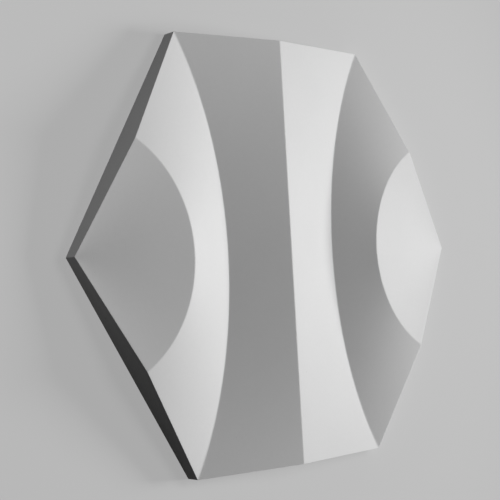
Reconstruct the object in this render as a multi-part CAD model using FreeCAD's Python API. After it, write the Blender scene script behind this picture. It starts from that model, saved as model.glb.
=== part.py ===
"""Hexagonal wall panel tile with a curved relief face, cast in one piece.

The tile lies on its flat back, with the relief facing up. Two opposite corners of the hexagon
point along +X and -X. The origin is the centre of the back face, and all sizes are millimetres.

The relief has three crests and two valleys. A straight crest runs down the middle of the face,
and a round crest circles each end corner. A valley lies between the straight crest and each
round one. Every crest ends at the middle of a side and every valley ends in a corner, so all
six sides have the same gabled profile, and neighbouring tiles meet level whichever way they
are turned.
"""
import FreeCAD
import Part
import math
import os

# Driving dimensions
SIDE_LENGTH = 250.0
CORNER_THICKNESS = 15.0
CREST_THICKNESS = 30.0
VALLEY_TO_CENTRE_LINE = 72.0
CREST_ROUNDING = 4.0
VALLEY_ROUNDING = 4.0

CORNERS = 6
CENTRE = FreeCAD.Vector(0, 0, 0)
ACROSS = FreeCAD.Vector(1, 0, 0)
UP = FreeCAD.Vector(0, 0, 1)


def corner(index, height=0.0):
    """Corner of the hexagon: 0 points along +X, and the count runs anticlockwise."""
    angle = 2 * math.pi * index / CORNERS
    return FreeCAD.Vector(SIDE_LENGTH * math.cos(angle), SIDE_LENGTH * math.sin(angle), height)


def middle_of_side(index, height):
    """Middle of the side from one corner to the next, where a crest reaches the edge."""
    return (corner(index, height) + corner(index + 1, height)) / 2


def mirrored(shape):
    """The same shape on the -X half of the tile."""
    return shape.mirror(CENTRE, ACROSS)


def straight_crest():
    """The crest down the middle of the face, between the two sides that run along X."""
    return Part.makeLine(middle_of_side(1, CREST_THICKNESS), middle_of_side(4, CREST_THICKNESS))


def round_crest():
    """The crest round the +X corner, through the middles of the two sides that meet there."""
    radius = SIDE_LENGTH / 2
    nearest_centre = FreeCAD.Vector(SIDE_LENGTH - radius, 0, CREST_THICKNESS)
    start = middle_of_side(0, CREST_THICKNESS)
    end = middle_of_side(5, CREST_THICKNESS)
    return Part.Arc(start, nearest_centre, end).toShape()


def valley():
    """A conic from corner to corner that leaves both corners heading for the tile's centre."""
    start = corner(1, CORNER_THICKNESS)
    end = corner(5, CORNER_THICKNESS)
    curve = Part.BezierCurve()
    curve.setPoles([start, CENTRE + UP * CORNER_THICKNESS, end])
    curve.setWeight(2, start.x / VALLEY_TO_CENTRE_LINE - 1)
    return curve.toShape()


def fan():
    """The sector of a cone that rises from the +X corner to the round crest."""
    apex = corner(0, CORNER_THICKNESS)
    rising_line = Part.makeLine(apex, middle_of_side(5, CREST_THICKNESS))
    corner_angle = 180.0 - 360.0 / CORNERS
    return rising_line.revolve(apex, -UP, corner_angle)


def relief_half():
    """The three bands between the straight crest and the +X corner."""
    bed = valley()
    slope = Part.makeRuledSurface(straight_crest(), bed)
    flank = Part.makeRuledSurface(bed, round_crest())
    return [slope, flank, fan()]


def side_face(index):
    """One upright side: low at its corners and high at its middle."""
    outline = [
        corner(index),
        corner(index + 1),
        corner(index + 1, CORNER_THICKNESS),
        middle_of_side(index, CREST_THICKNESS),
        corner(index, CORNER_THICKNESS),
    ]
    return Part.Face(Part.makePolygon(outline + outline[:1]))


def back_face():
    """The flat back that is glued to the wall."""
    outline = [corner(index) for index in range(CORNERS + 1)]
    return Part.Face(Part.makePolygon(outline))


def sharp_tile():
    """The closed tile, with its crests and valleys still sharp."""
    half = relief_half()
    other_half = [mirrored(face) for face in half]
    sides = [side_face(index) for index in range(CORNERS)]
    skin = Part.Compound(half + other_half + sides + [back_face()])
    skin.sewShape()
    return Part.makeSolid(skin.Shells[0])


def edge_along(tile, curve):
    """The tile's own edge that follows a crest or a valley."""
    first, last = curve.ParameterRange
    middle = Part.Vertex(curve.valueAt((first + last) / 2))
    return min(tile.Edges, key=lambda edge: edge.distToShape(middle)[0])


def panel_tile():
    """The tile as it leaves its mould, with crests and valleys slightly rounded."""
    crests = [straight_crest(), round_crest(), mirrored(round_crest())]
    valleys = [valley(), mirrored(valley())]
    tile = sharp_tile()
    tile = tile.makeFillet(CREST_ROUNDING, [edge_along(tile, crest) for crest in crests])
    tile = tile.makeFillet(VALLEY_ROUNDING, [edge_along(tile, bed) for bed in valleys])
    return tile.Solids[0]


def main():
    os.makedirs("parts", exist_ok=True)
    panel_tile().exportStep("parts/panel_tile.step")


main()
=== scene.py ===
"""Hexagonal wall panel tile in cast plaster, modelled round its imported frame.

The tile lies on its flat back on a pale studio floor. A straight crest runs down the middle of
its relief, a round crest circles each end corner, and a curved valley lies between the straight
crest and each round one. All lengths are metres, unless a comment says otherwise.
"""
import math

import bmesh
import bpy
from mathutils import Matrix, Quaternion, Vector


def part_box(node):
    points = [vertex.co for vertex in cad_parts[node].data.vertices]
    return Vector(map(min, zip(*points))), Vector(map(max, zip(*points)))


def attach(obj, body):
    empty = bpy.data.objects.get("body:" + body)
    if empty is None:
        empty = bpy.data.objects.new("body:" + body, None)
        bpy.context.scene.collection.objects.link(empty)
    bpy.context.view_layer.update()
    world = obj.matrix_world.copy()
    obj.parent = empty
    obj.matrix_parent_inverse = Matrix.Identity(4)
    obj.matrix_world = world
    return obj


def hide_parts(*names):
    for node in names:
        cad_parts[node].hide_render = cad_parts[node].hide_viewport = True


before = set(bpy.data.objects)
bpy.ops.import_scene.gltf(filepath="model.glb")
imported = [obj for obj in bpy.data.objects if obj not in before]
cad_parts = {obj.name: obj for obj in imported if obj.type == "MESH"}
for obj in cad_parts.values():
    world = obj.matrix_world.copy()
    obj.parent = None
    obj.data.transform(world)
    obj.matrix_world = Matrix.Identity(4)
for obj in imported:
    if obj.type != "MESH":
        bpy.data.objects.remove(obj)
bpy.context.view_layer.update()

bl_info = {
    "name": "Relief Wall Tile",
    "version": (1, 0, 0),
    "blender": (4, 5, 0),
    "location": "3D View > Sidebar > Wall Tile",
    "description": "Models a hexagonal relief tile in cast plaster and sets up its studio",
    "category": "Add Mesh",
}

MILLIMETRE = 0.001

# Places closer together than this count as one
NEAR = 1e-6

# Each round crest sweeps the whole angle of its corner
CREST_ANGLE = 2 * math.pi / 3

# How finely the softened edges are divided
CREST_SEGMENTS = 4
ARRIS_SEGMENTS = 3
VALLEY_CUTS = 5

# How far the bottom of a valley is lifted, as a share of the way to the mean of its neighbours
VALLEY_LIFT = 0.5

# A face belongs to the sides where its normal rises or falls by less than this
SIDE_TILT = 0.5

# Most of a noise lies between these two numbers
NOISE_LOW = 0.3
NOISE_HIGH = 0.7

# Marks on the plaster. Tones are shares of its plain colour and depths are in millimetres. The
# hole tones darken the inside of each bubble as painted shade.
CLOUD_TONE = 0.01
FLECK_TONE = 0.006
MOULDED_HOLE_PAINTED_SHADE = 0.3
MOULDED_HOLE_DEPTH = 0.2
STRUCK_TONES = (0.96, 1)
STRUCK_HOLE_PAINTED_SHADE = 0.35
STRUCK_HOLE_DEPTH = 0.5
STRUCK_GRAIN_DEPTH = 0.05
STREAK_TONE = 0.015
STREAK_DEPTH = 0.15

# How many times longer a streak is than it is wide
STREAK_STRETCH = 25

# The wall of a bubble slopes over this share of the largest bubble's radius
BUBBLE_WALL = 0.3

# How dry plaster reflects light
PLASTER_SHEEN = 0.25
MOULDED_ROUGHNESS = (0.86, 0.94)
STRUCK_ROUGHNESS = (0.90, 0.98)


class TileSizes(bpy.types.PropertyGroup):
    """The driving sizes of the tile and how finely it is divided."""

    side_length: bpy.props.FloatProperty(
        name="Side length",
        description="Length of one side of the hexagon, which is also half its span",
        default=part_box("panel_tile")[1][0],
        unit="LENGTH",
    )
    corner_thickness: bpy.props.FloatProperty(
        name="Corner thickness",
        description="Thickness at the corners and along the valleys",
        default=0.015,
        unit="LENGTH",
    )
    crest_thickness: bpy.props.FloatProperty(
        name="Crest thickness",
        description="Thickness along the crests",
        default=0.030,
        unit="LENGTH",
    )
    valley_distance: bpy.props.FloatProperty(
        name="Valley to centre line",
        description="Distance from the straight crest to a valley, halfway along it",
        default=0.072,
        unit="LENGTH",
    )
    crest_softening: bpy.props.FloatProperty(
        name="Crest softening",
        description="Width taken off each side of a crest",
        default=0.0009,
        unit="LENGTH",
    )
    arris_rounding: bpy.props.FloatProperty(
        name="Arris rounding",
        description="Width taken off each side of an outer edge",
        default=0.0003,
        unit="LENGTH",
    )
    columns: bpy.props.IntProperty(
        name="Columns",
        description="Steps along each crest and valley",
        default=72,
    )
    slope_rows: bpy.props.IntProperty(
        name="Slope rows",
        description="Steps from the straight crest to a valley",
        default=18,
    )
    flank_rows: bpy.props.IntProperty(
        name="Flank rows",
        description="Steps from a valley to a round crest",
        default=14,
    )
    fan_rows: bpy.props.IntProperty(
        name="Fan rows",
        description="Steps from a round crest to its corner",
        default=20,
    )


class PlasterFinish(bpy.types.PropertyGroup):
    """The colour of the plaster and the scale of what shows on it."""

    colour: bpy.props.FloatVectorProperty(
        name="Colour",
        description="Colour of clean, dry plaster",
        default=(0.80, 0.80, 0.80),
        subtype="COLOR",
        min=0,
        max=1,
    )
    cloud_size: bpy.props.FloatProperty(
        name="Cloud size",
        description="Width of the faint clouds left by uneven drying",
        default=0.060,
        unit="LENGTH",
    )
    fleck_size: bpy.props.FloatProperty(
        name="Fleck size",
        description="Width of the small flecks within the clouds",
        default=0.004,
        unit="LENGTH",
    )
    grain_size: bpy.props.FloatProperty(
        name="Grain size",
        description="Width of the grains that the surface is made of",
        default=0.0005,
        unit="LENGTH",
    )
    bubble_spacing: bpy.props.FloatProperty(
        name="Bubble spacing",
        description="Distance between the small air bubbles held in the plaster",
        default=0.007,
        unit="LENGTH",
    )
    streak_width: bpy.props.FloatProperty(
        name="Streak width",
        description="Width of the streaks that the straightedge left across the back",
        default=0.003,
        unit="LENGTH",
    )


class StudioSettings(bpy.types.PropertyGroup):
    """Where the camera and the lamps stand, and how pale the floor is."""

    view_azimuth: bpy.props.FloatProperty(
        name="View azimuth",
        description="Direction in which the camera stands, anticlockwise from +X",
        default=math.radians(-176.492),
        unit="ROTATION",
    )
    view_elevation: bpy.props.FloatProperty(
        name="View elevation",
        description="Height of the camera above the floor, as an angle",
        default=math.radians(49.490),
        unit="ROTATION",
    )
    view_distance: bpy.props.FloatProperty(
        name="View distance",
        description="Distance from the camera to the point that it looks at",
        default=1.22958,
        unit="LENGTH",
    )
    view_roll: bpy.props.FloatProperty(
        name="View roll",
        description="Turn of the camera about the line that it looks along",
        default=math.radians(84.124),
        unit="ROTATION",
    )
    view_target: bpy.props.FloatVectorProperty(
        name="View target",
        description="Point on the floor that the camera looks at",
        default=(-0.03049, 0.00341, 0),
        subtype="TRANSLATION",
    )
    lens: bpy.props.FloatProperty(
        name="Lens",
        description="Focal length of the camera",
        default=86.516,
        unit="CAMERA",
    )
    floor_size: bpy.props.FloatProperty(
        name="Floor size",
        description="Length and width of the floor",
        default=12,
        unit="LENGTH",
    )
    floor_glow: bpy.props.FloatProperty(
        name="Floor glow",
        description="How pale the floor looks where no lamp reaches it",
        default=0.36,
    )
    floor_tone: bpy.props.FloatProperty(
        name="Floor tone",
        description="How pale the floor and the room look away from the tile",
        default=0.50,
    )
    lit_radius: bpy.props.FloatProperty(
        name="Lit radius",
        description="Radius of the floor round the tile that shows light and shadow in full",
        default=0.32,
        unit="LENGTH",
    )
    floor_colour: bpy.props.FloatProperty(
        name="Floor colour",
        description="Grey of the floor under the lamps",
        default=0.25,
    )
    floor_bounce: bpy.props.FloatProperty(
        name="Floor bounce",
        description="Grey of the floor as it lights the tile",
        default=0.05,
    )
    room_light: bpy.props.FloatProperty(
        name="Room light",
        description="Even light from all round the tile",
        default=0.005,
    )
    key_power: bpy.props.FloatProperty(
        name="Key power",
        description="Power of the main softbox",
        default=545,
        unit="POWER",
    )
    key_azimuth: bpy.props.FloatProperty(
        name="Key azimuth",
        description="Direction of the main softbox, anticlockwise from +X",
        default=math.radians(-2.4),
        unit="ROTATION",
    )
    key_elevation: bpy.props.FloatProperty(
        name="Key elevation",
        description="Height of the main softbox above the floor, as an angle",
        default=math.radians(15.7),
        unit="ROTATION",
    )
    key_distance: bpy.props.FloatProperty(
        name="Key distance",
        description="Distance from the tile to the main softbox",
        default=6.47,
        unit="LENGTH",
    )
    key_size: bpy.props.FloatProperty(
        name="Key size",
        description="Length and width of the main softbox",
        default=1.4,
        unit="LENGTH",
    )
    fill_power: bpy.props.FloatProperty(
        name="Fill power",
        description="Power of the weak softbox on the shaded side",
        default=0.46,
        unit="POWER",
    )
    fill_azimuth: bpy.props.FloatProperty(
        name="Fill azimuth",
        description="Direction of the weak softbox, anticlockwise from +X",
        default=math.radians(154),
        unit="ROTATION",
    )
    fill_elevation: bpy.props.FloatProperty(
        name="Fill elevation",
        description="Height of the weak softbox above the floor, as an angle",
        default=math.radians(10),
        unit="ROTATION",
    )
    fill_distance: bpy.props.FloatProperty(
        name="Fill distance",
        description="Distance from the tile to the weak softbox",
        default=0.75,
        unit="LENGTH",
    )
    fill_size: bpy.props.FloatProperty(
        name="Fill size",
        description="Length and width of the weak softbox",
        default=0.2,
        unit="LENGTH",
    )
    top_power: bpy.props.FloatProperty(
        name="Top power",
        description="Power of the high softbox, which lightens what the main one leaves dark",
        default=2.74,
        unit="POWER",
    )
    top_azimuth: bpy.props.FloatProperty(
        name="Top azimuth",
        description="Direction of the high softbox, anticlockwise from +X",
        default=math.radians(20),
        unit="ROTATION",
    )
    top_elevation: bpy.props.FloatProperty(
        name="Top elevation",
        description="Height of the high softbox above the floor, as an angle",
        default=math.radians(62),
        unit="ROTATION",
    )
    top_distance: bpy.props.FloatProperty(
        name="Top distance",
        description="Distance from the tile to the high softbox",
        default=1.02,
        unit="LENGTH",
    )
    top_size: bpy.props.FloatProperty(
        name="Top size",
        description="Length and width of the high softbox",
        default=0.4,
        unit="LENGTH",
    )
    rim_power: bpy.props.FloatProperty(
        name="Rim power",
        description="Power of each of the two low softboxes that light the ends of the crests",
        default=1.4,
        unit="POWER",
    )
    rim_azimuth: bpy.props.FloatProperty(
        name="Rim azimuth",
        description="Angle from +X to each low softbox, one on either side",
        default=math.radians(60),
        unit="ROTATION",
    )
    rim_elevation: bpy.props.FloatProperty(
        name="Rim elevation",
        description="Height of the low softboxes above the floor, as an angle",
        default=math.radians(10),
        unit="ROTATION",
    )
    rim_distance: bpy.props.FloatProperty(
        name="Rim distance",
        description="Distance from the tile to each low softbox",
        default=1.5,
        unit="LENGTH",
    )
    rim_size: bpy.props.FloatProperty(
        name="Rim size",
        description="Length and width of the low softboxes",
        default=0.4,
        unit="LENGTH",
    )


def select(piece, kind, test):
    """Selects the vertices, edges or faces of the mesh being edited that pass a test."""
    bpy.ops.mesh.select_all(action="DESELECT")
    bpy.ops.mesh.select_mode(type=kind)
    shape = bmesh.from_edit_mesh(piece.data)
    kinds = {"VERT": shape.verts, "EDGE": shape.edges, "FACE": shape.faces}
    for element in kinds[kind]:
        if test(element):
            element.select_set(True)
    bmesh.update_edit_mesh(piece.data)


def at_height(vertex, height):
    """Whether a vertex is at this height."""
    return abs(vertex.co.z - height) < NEAR


def level(edge, height):
    """Whether both ends of an edge are at this height."""
    return all(at_height(end, height) for end in edge.verts)


def start_at_origin(name):
    """An object at the origin with an empty mesh, open in edit mode."""
    bpy.ops.object.select_all(action="DESELECT")
    bpy.ops.mesh.primitive_plane_add(location=(0, 0, 0))
    piece = bpy.context.object
    piece.name = name
    piece.data.name = name
    bpy.ops.object.mode_set(mode="EDIT")
    bpy.ops.mesh.delete(type="VERT")
    return piece


def spin_curve(start, centre, angle, steps):
    """A chain of edges: one vertex spun about an upright axis, clockwise for a positive angle."""
    bpy.ops.mesh.select_all(action="DESELECT")
    bpy.ops.mesh.select_mode(type="VERT")
    bpy.ops.mesh.primitive_plane_add(size=MILLIMETRE, location=start)
    bpy.ops.mesh.merge(type="CENTER")
    bpy.ops.mesh.spin(steps=steps, angle=angle, center=centre, axis=(0, 0, 1))


def apply_modifier(piece, name, kind, **settings):
    """Adds a modifier with these settings and applies it."""
    modifier = piece.modifiers.new(name, kind)
    for setting, value in settings.items():
        setattr(modifier, setting, value)
    bpy.ops.object.modifier_apply(modifier=modifier.name)


def model_valley(piece, sizes):
    """An arc of an ellipse between two corners, which it leaves heading for the tile's centre."""
    corner = Vector((sizes.side_length / 2, sizes.side_length * math.sqrt(3) / 2, 0))
    reach = sizes.valley_distance
    centre_x = reach ** 2 / (2 * reach - corner.x)
    radius = centre_x - reach
    half_angle = math.acos((centre_x - corner.x) / radius)
    start = (corner.x, radius * math.sin(half_angle), sizes.corner_thickness)
    centre = (centre_x, 0, sizes.corner_thickness)
    spin_curve(start, centre, -2 * half_angle, sizes.columns)
    bpy.ops.mesh.select_all(action="SELECT")
    bpy.ops.transform.resize(value=(1, corner.y / start[1], 1), center_override=(0, 0, 0))


def model_slope(piece, sizes):
    """The valley is extruded to the centre line, where it becomes the straight crest."""
    low = sizes.corner_thickness
    rise = sizes.crest_thickness - low
    select(piece, "EDGE", lambda edge: level(edge, low))
    bpy.ops.mesh.extrude_edges_move(TRANSFORM_OT_translate={"value": (0, 0, rise)})
    bpy.ops.transform.resize(value=(0, 1, 1), center_override=(0, 0, 0))
    select(piece, "EDGE", lambda edge: abs(edge.verts[0].co.z - edge.verts[1].co.z) > rise / 2)
    bpy.ops.mesh.subdivide_edgering(number_cuts=sizes.slope_rows - 1, interpolation="LINEAR")


def model_flank(piece, sizes):
    """The band between the valley and a round crest, which is an arc about the end corner."""
    side = sizes.side_length
    low = sizes.corner_thickness
    high = sizes.crest_thickness
    start = (side * 3 / 4, side * math.sqrt(3) / 4, high)
    spin_curve(start, (side, 0, high), -CREST_ANGLE, sizes.columns)

    def rim(edge):
        return level(edge, low) or (level(edge, high) and edge.verts[0].co.x > NEAR)

    select(piece, "EDGE", rim)
    bpy.ops.mesh.bridge_edge_loops(number_cuts=sizes.flank_rows - 1, interpolation="LINEAR")


def model_fan(piece, sizes):
    """The hollow sector that falls from the round crest to the end corner."""
    high = sizes.crest_thickness
    tip = Vector((sizes.side_length, 0, sizes.corner_thickness))
    radius = sizes.side_length / 2
    shrink = 1 / sizes.fan_rows
    row = shrink * radius
    select(piece, "EDGE", lambda edge: level(edge, high) and edge.verts[0].co.x > NEAR)
    bpy.ops.mesh.extrude_edges_move()
    bpy.ops.transform.resize(value=(shrink, shrink, shrink), center_override=tip)

    def rib(edge):
        near, far = sorted((end.co - tip).length for end in edge.verts)
        return near < 2 * row and far > radius / 2

    def last_row(edge):
        return all((end.co - tip).length < 1.5 * row for end in edge.verts)

    select(piece, "EDGE", rib)
    bpy.ops.mesh.subdivide_edgering(number_cuts=sizes.fan_rows - 2, interpolation="LINEAR")
    select(piece, "EDGE", last_row)
    bpy.ops.mesh.extrude_edges_move()
    bpy.ops.transform.resize(value=(0, 0, 0), center_override=tip)
    bpy.ops.mesh.merge(type="CENTER")
    end_ribs(piece, sizes, rows_left=4, step=1)
    end_ribs(piece, sizes, rows_left=2, step=2)
    end_ribs(piece, sizes, rows_left=1, step=4)


def end_ribs(piece, sizes, rows_left, step):
    """Where the fan's ribs crowd, every second one ends this many rows before the corner.

    The ribs that reach that far stand this many columns apart.
    """
    tip = Vector((sizes.side_length, 0))
    row = sizes.side_length / 2 / sizes.fan_rows
    spacing = CREST_ANGLE / sizes.columns

    def ends_here(edge):
        near, far = sorted((end.co.xy - tip for end in edge.verts), key=lambda arm: arm.length)
        across = far.length - near.length < row / 2
        if across or far.length > (rows_left + 0.5) * row:
            return False
        index = round((CREST_ANGLE / 2 - math.atan2(far.y, -far.x)) / spacing)
        return index % (2 * step) == step

    select(piece, "EDGE", ends_here)
    bpy.ops.mesh.dissolve_edges(use_verts=True)


def mirror_half(piece):
    """The -X half of the relief."""
    bpy.ops.object.mode_set(mode="OBJECT")
    apply_modifier(piece, "other half", "MIRROR", merge_threshold=10 * NEAR)
    bpy.ops.object.mode_set(mode="EDIT")


def soften_crests(piece, sizes):
    """The three crests are slightly rounded, as they leave the mould."""
    select(piece, "EDGE", lambda edge: level(edge, sizes.crest_thickness))
    bpy.ops.mesh.bevel(offset=sizes.crest_softening, segments=CREST_SEGMENTS, affect="EDGES")


def soften_valleys(piece, sizes):
    """The two valleys keep a narrow crease, from one to three millimetres wide."""

    def in_valley(vertex):
        at_end_corner = abs(vertex.co.x) > sizes.side_length - NEAR
        return at_height(vertex, sizes.corner_thickness) and not at_end_corner

    def rung(edge):
        return sum(in_valley(end) for end in edge.verts) == 1

    select(piece, "EDGE", rung)
    bpy.ops.mesh.subdivide_edgering(number_cuts=VALLEY_CUTS, interpolation="LINEAR")
    select(piece, "VERT", in_valley)
    bpy.ops.mesh.vertices_smooth(factor=VALLEY_LIFT, xaxis=False, yaxis=False)


def close_tile(piece, sizes):
    """The upright sides and the flat back."""
    select(piece, "EDGE", lambda edge: edge.is_boundary)
    drop = (0, 0, -sizes.corner_thickness)
    bpy.ops.mesh.extrude_edges_move(TRANSFORM_OT_translate={"value": drop})
    bpy.ops.transform.resize(value=(1, 1, 0), center_override=(0, 0, 0))
    bpy.ops.mesh.edge_face_add()
    bpy.ops.mesh.select_all(action="SELECT")
    bpy.ops.mesh.normals_make_consistent(inside=False)


def round_arrises(piece, sizes):
    """The outer edges, from the relief to the sides and from the sides to the back."""
    select(piece, "EDGE", lambda edge: edge.calc_face_angle() > math.pi / 4)
    bpy.ops.mesh.bevel(offset=sizes.arris_rounding, segments=ARRIS_SEGMENTS, affect="EDGES")


def cast_tile(sizes):
    """The whole tile, closed and shaded smooth."""
    piece = start_at_origin("cast_tile")
    model_valley(piece, sizes)
    model_slope(piece, sizes)
    model_flank(piece, sizes)
    model_fan(piece, sizes)
    mirror_half(piece)
    soften_crests(piece, sizes)
    soften_valleys(piece, sizes)
    close_tile(piece, sizes)
    round_arrises(piece, sizes)
    bpy.ops.object.mode_set(mode="OBJECT")
    bpy.ops.object.shade_smooth()
    apply_modifier(piece, "even shading", "WEIGHTED_NORMAL")
    return piece


def add_node(tree, kind, inputs=None, **settings):
    """A new shader node. Each input is given a value or the output that feeds it."""
    node = tree.nodes.new("ShaderNode" + kind)
    for setting, value in settings.items():
        setattr(node, setting, value)
    for name, value in (inputs or {}).items():
        if isinstance(value, bpy.types.NodeSocket):
            tree.links.new(value, node.inputs[name])
        else:
            node.inputs[name].default_value = value
    return node


def arithmetic(tree, operation, first, second):
    """The result of one sum on two numbers, either of which may be an output."""
    return add_node(tree, "Math", {0: first, 1: second}, operation=operation).outputs[0]


def add_share(tree, total, part, share):
    """A number with a share of another added to it."""
    return arithmetic(tree, "ADD", total, arithmetic(tree, "MULTIPLY", part, share))


def noise(tree, place, size, detail=2):
    """Smooth noise from 0 to 1, with features of this size."""
    inputs = {"Vector": place, "Scale": 1 / size, "Detail": detail}
    return add_node(tree, "TexNoise", inputs).outputs[0]


def spread(tree, value, low, high):
    """Noise stretched so that most of it lies between two numbers, and none outside them."""
    inputs = {
        "Value": value,
        "From Min": NOISE_LOW,
        "From Max": NOISE_HIGH,
        "To Min": low,
        "To Max": high,
    }
    return add_node(tree, "MapRange", inputs).outputs[0]


def mottle(tree, tone, value, change):
    """A tone that noise makes paler or darker by up to this change."""
    return arithmetic(tree, "ADD", tone, spread(tree, value, -change, change))


def bubbles(tree, place, spacing, largest):
    """Round holes of many sizes, from 0 on the surface to 1 in a hole."""
    cells = add_node(tree, "TexVoronoi", {"Vector": place, "Scale": 1 / spacing})
    chance = add_node(tree, "SeparateColor", {"Color": cells.outputs["Color"]}).outputs[0]
    radius = arithmetic(tree, "MULTIPLY", chance, largest / spacing)
    depth = arithmetic(tree, "SUBTRACT", radius, cells.outputs["Distance"])
    wall = BUBBLE_WALL * largest / spacing
    return add_node(tree, "MapRange", {"Value": depth, "From Max": wall}).outputs[0]


def plain_material(name):
    """A material with its node tree and the place of each point on the piece."""
    material = bpy.data.materials.new(name)
    material.use_nodes = True
    tree = material.node_tree
    return material, tree, add_node(tree, "TexCoord").outputs["Object"]


def coat_with_plaster(tree, finish, tone, height, roughness):
    """Plaster of this tone, 1 being its plain colour, this height in millimetres and roughness."""
    inputs = {"Value": tone, "Color": (*finish.colour, 1)}
    colour = add_node(tree, "HueSaturation", inputs).outputs[0]
    bump = add_node(tree, "Bump", {"Distance": MILLIMETRE, "Height": height}).outputs[0]
    shader = tree.nodes["Principled BSDF"]
    shader.inputs["Specular IOR Level"].default_value = PLASTER_SHEEN
    tree.links.new(colour, shader.inputs["Base Color"])
    tree.links.new(bump, shader.inputs["Normal"])
    tree.links.new(roughness, shader.inputs["Roughness"])


def moulded_plaster(name, finish, paleness, largest_bubble, grain_depth):
    """Smooth plaster as the mould leaves it, with faint clouds, flecks and a few bubbles, whose
    insides are painted darker as shade.
    """
    material, tree, place = plain_material(name)
    clouds = noise(tree, place, finish.cloud_size, detail=3)
    flecks = noise(tree, place, finish.fleck_size)
    grain = noise(tree, place, finish.grain_size)
    holes = bubbles(tree, place, finish.bubble_spacing, largest_bubble)
    cloudy = spread(tree, clouds, paleness - CLOUD_TONE, paleness + CLOUD_TONE)
    flecked = mottle(tree, cloudy, flecks, FLECK_TONE)
    # The inside of each bubble is painted darker: painted shade in the hole
    tone = add_share(tree, flecked, holes, -MOULDED_HOLE_PAINTED_SHADE)
    grainy = arithmetic(tree, "MULTIPLY", grain, grain_depth)
    uneven = add_share(tree, grainy, flecks, 2 * grain_depth)
    height = add_share(tree, uneven, holes, -MOULDED_HOLE_DEPTH)
    roughness = spread(tree, flecks, *MOULDED_ROUGHNESS)
    coat_with_plaster(tree, finish, tone, height, roughness)
    return material


def relief_plaster(finish):
    """The show face, from a polished mould."""
    return moulded_plaster(
        "relief_plaster", finish, paleness=1, largest_bubble=0.0003, grain_depth=0.01
    )


def side_plaster(finish):
    """The sides, painted a little darker than the relief as painted shade, and rougher from the
    mould's walls, where more bubbles cling.
    """
    # A paleness below 1 is painted shade, which keeps the sides that face the main softbox from
    # washing out
    return moulded_plaster(
        "side_plaster", finish, paleness=0.93, largest_bubble=0.0006, grain_depth=0.02
    )


def struck_plaster(finish):
    """The back, struck off with a straightedge along Y while the plaster set."""
    material, tree, place = plain_material("struck_plaster")
    stretch = {"Vector": place, "Scale": (1, 1 / STREAK_STRETCH, 1)}
    along = add_node(tree, "Mapping", stretch).outputs[0]
    streaks = noise(tree, along, finish.streak_width, detail=4)
    clouds = noise(tree, place, finish.cloud_size, detail=3)
    grain = noise(tree, place, 2 * finish.grain_size)
    holes = bubbles(tree, place, finish.bubble_spacing, largest=0.0012)
    cloudy = spread(tree, clouds, *STRUCK_TONES)
    streaky = mottle(tree, cloudy, streaks, STREAK_TONE)
    # The inside of each bubble on the back is painted darker: painted shade in the hole
    tone = add_share(tree, streaky, holes, -STRUCK_HOLE_PAINTED_SHADE)
    ridged = arithmetic(tree, "MULTIPLY", streaks, STREAK_DEPTH)
    grainy = add_share(tree, ridged, grain, STRUCK_GRAIN_DEPTH)
    height = add_share(tree, grainy, holes, -STRUCK_HOLE_DEPTH)
    roughness = spread(tree, streaks, *STRUCK_ROUGHNESS)
    coat_with_plaster(tree, finish, tone, height, roughness)
    return material


def finish_tile(piece, finish):
    """Each face of the tile gets the plaster of its part, by the way that it faces."""
    for material in (relief_plaster(finish), side_plaster(finish), struck_plaster(finish)):
        piece.data.materials.append(material)
    relief, side, back = range(len(piece.data.materials))
    for face in piece.data.polygons:
        if face.normal.z > SIDE_TILT:
            face.material_index = relief
        elif face.normal.z < -SIDE_TILT:
            face.material_index = back
        else:
            face.material_index = side


def seen(tree):
    """1 for what the camera sees, straight or in a reflection, and 0 for what lights things."""
    path = add_node(tree, "LightPath").outputs
    mirrored = arithmetic(tree, "MAXIMUM", path["Is Glossy Ray"], path["Is Transmission Ray"])
    return arithmetic(tree, "MAXIMUM", path["Is Camera Ray"], mirrored)


def grey(level_of_grey):
    """A neutral colour."""
    return (level_of_grey, level_of_grey, level_of_grey, 1)


def away_from_tile(tree, studio):
    """0 on the floor round the tile, rising to 1 at twice the lit radius."""
    place = add_node(tree, "TexCoord").outputs["Object"]
    distance = add_node(tree, "VectorMath", {0: place}, operation="LENGTH").outputs["Value"]
    inputs = {"Value": distance, "From Min": studio.lit_radius, "From Max": 2 * studio.lit_radius}
    return add_node(tree, "MapRange", inputs, interpolation_type="SMOOTHSTEP").outputs[0]


def floor_material(studio):
    """A pale floor that throws little light back, in one even tone away from the tile."""
    material = bpy.data.materials.new("studio_floor")
    material.use_nodes = True
    tree = material.node_tree
    tree.nodes.clear()
    glow = add_node(tree, "Emission", {"Color": grey(1), "Strength": studio.floor_glow})
    paint = add_node(tree, "BsdfDiffuse", {"Color": grey(studio.floor_colour)})
    lit = add_node(tree, "AddShader", {0: glow.outputs[0], 1: paint.outputs[0]})
    even = add_node(tree, "Emission", {"Color": grey(1), "Strength": studio.floor_tone})
    inputs = {0: away_from_tile(tree, studio), 1: lit.outputs[0], 2: even.outputs[0]}
    pale = add_node(tree, "MixShader", inputs)
    dark = add_node(tree, "BsdfDiffuse", {"Color": grey(studio.floor_bounce)})
    both = add_node(tree, "MixShader", {0: seen(tree), 1: dark.outputs[0], 2: pale.outputs[0]})
    add_node(tree, "OutputMaterial", {"Surface": both.outputs[0]})
    return material


def set_room(studio):
    """An even, pale room that lights the tile weakly from all round."""
    world = bpy.data.worlds.new("studio_room")
    world.use_nodes = True
    tree = world.node_tree
    tree.nodes.clear()
    light = add_node(tree, "Background", {"Color": grey(1), "Strength": studio.room_light})
    pale = add_node(tree, "Background", {"Color": grey(1), "Strength": studio.floor_tone})
    both = add_node(tree, "MixShader", {0: seen(tree), 1: light.outputs[0], 2: pale.outputs[0]})
    add_node(tree, "OutputWorld", {"Surface": both.outputs[0]})
    bpy.context.scene.world = world


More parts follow.
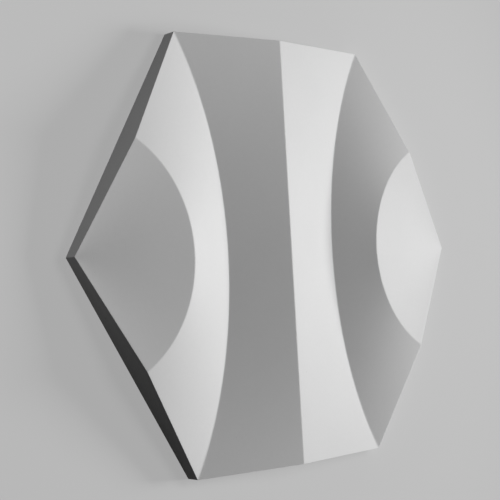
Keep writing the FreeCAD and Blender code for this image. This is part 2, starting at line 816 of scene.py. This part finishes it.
def lay_floor(studio):
    """The floor that the tile lies on."""
    bpy.ops.object.select_all(action="DESELECT")
    bpy.ops.mesh.primitive_plane_add(size=studio.floor_size, location=(0, 0, 0))
    floor = bpy.context.object
    floor.name = "studio_floor"
    floor.data.materials.append(floor_material(studio))


def direction(azimuth, elevation):
    """The unit vector towards a place at this azimuth and elevation."""
    across = math.cos(elevation)
    return Vector((across * math.cos(azimuth), across * math.sin(azimuth), math.sin(elevation)))


def aim(thing, target, roll=0):
    """Turns a camera or a lamp towards a point, then about the line between them."""
    facing = (target - thing.location).to_track_quat("-Z", "Y")
    thing.rotation_euler = (facing @ Quaternion((0, 0, 1), roll)).to_euler()


def hang_softbox(studio, kind, name, side=1):
    """A square lamp of one kind that faces the tile, and that no camera sees."""
    azimuth = side * getattr(studio, kind + "_azimuth")
    elevation = getattr(studio, kind + "_elevation")
    place = getattr(studio, kind + "_distance") * direction(azimuth, elevation)
    bpy.ops.object.light_add(type="AREA", location=place)
    lamp = bpy.context.object
    lamp.name = name
    lamp.data.size = getattr(studio, kind + "_size")
    lamp.data.energy = getattr(studio, kind + "_power")
    lamp.visible_camera = False
    aim(lamp, Vector((0, 0, 0)))


def place_camera(studio):
    """The camera, above the -X side of the tile and turned so that +Y is up."""
    target = Vector(studio.view_target)
    away = direction(studio.view_azimuth, studio.view_elevation)
    bpy.ops.object.camera_add(location=target + studio.view_distance * away)
    camera = bpy.context.object
    camera.data.lens = studio.lens
    aim(camera, target, studio.view_roll)
    bpy.context.scene.camera = camera


class CastTile(bpy.types.Operator):
    """Model the tile as one closed casting and give it its plaster finish"""

    bl_idname = "wall_tile.cast_tile"
    bl_label = "Cast Tile"

    def execute(self, context):
        piece = cast_tile(context.scene.tile_sizes)
        finish_tile(piece, context.scene.plaster_finish)
        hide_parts("panel_tile")
        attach(piece, "root")
        return {"FINISHED"}


class SetStudio(bpy.types.Operator):
    """Lay the floor, hang the lamps and place the camera"""

    bl_idname = "wall_tile.set_studio"
    bl_label = "Set Studio"

    def execute(self, context):
        studio = context.scene.studio_settings
        lay_floor(studio)
        set_room(studio)
        hang_softbox(studio, "key", "key_softbox")
        hang_softbox(studio, "top", "top_softbox")
        hang_softbox(studio, "fill", "fill_softbox")
        hang_softbox(studio, "rim", "left_rim")
        hang_softbox(studio, "rim", "right_rim", side=-1)
        place_camera(studio)
        context.scene.view_settings.view_transform = "Standard"
        return {"FINISHED"}


class TilePanel(bpy.types.Panel):
    """The tile's sizes and finish, the studio's settings and the operators that use them."""

    bl_idname = "VIEW3D_PT_wall_tile"
    bl_label = "Relief Wall Tile"
    bl_space_type = "VIEW_3D"
    bl_region_type = "UI"
    bl_category = "Wall Tile"

    def draw(self, context):
        self.draw_group(context.scene.tile_sizes)
        self.draw_group(context.scene.plaster_finish)
        self.layout.operator(CastTile.bl_idname)
        self.draw_group(context.scene.studio_settings)
        self.layout.operator(SetStudio.bl_idname)

    def draw_group(self, group):
        """One box that lists every property of a group."""
        box = self.layout.box()
        for name in type(group).__annotations__:
            box.prop(group, name)


CLASSES = (TileSizes, PlasterFinish, StudioSettings, CastTile, SetStudio, TilePanel)


def register():
    """Adds the classes and gives each scene its three groups of settings."""
    for kind in CLASSES:
        bpy.utils.register_class(kind)
    bpy.types.Scene.tile_sizes = bpy.props.PointerProperty(type=TileSizes)
    bpy.types.Scene.plaster_finish = bpy.props.PointerProperty(type=PlasterFinish)
    bpy.types.Scene.studio_settings = bpy.props.PointerProperty(type=StudioSettings)


def unregister():
    """Takes away what register added."""
    del bpy.types.Scene.studio_settings
    del bpy.types.Scene.plaster_finish
    del bpy.types.Scene.tile_sizes
    for kind in reversed(CLASSES):
        bpy.utils.unregister_class(kind)


def main():
    """Builds the tile and its studio."""
    register()
    bpy.ops.wall_tile.cast_tile()
    bpy.ops.wall_tile.set_studio()


if __name__ == "__main__":
    main()
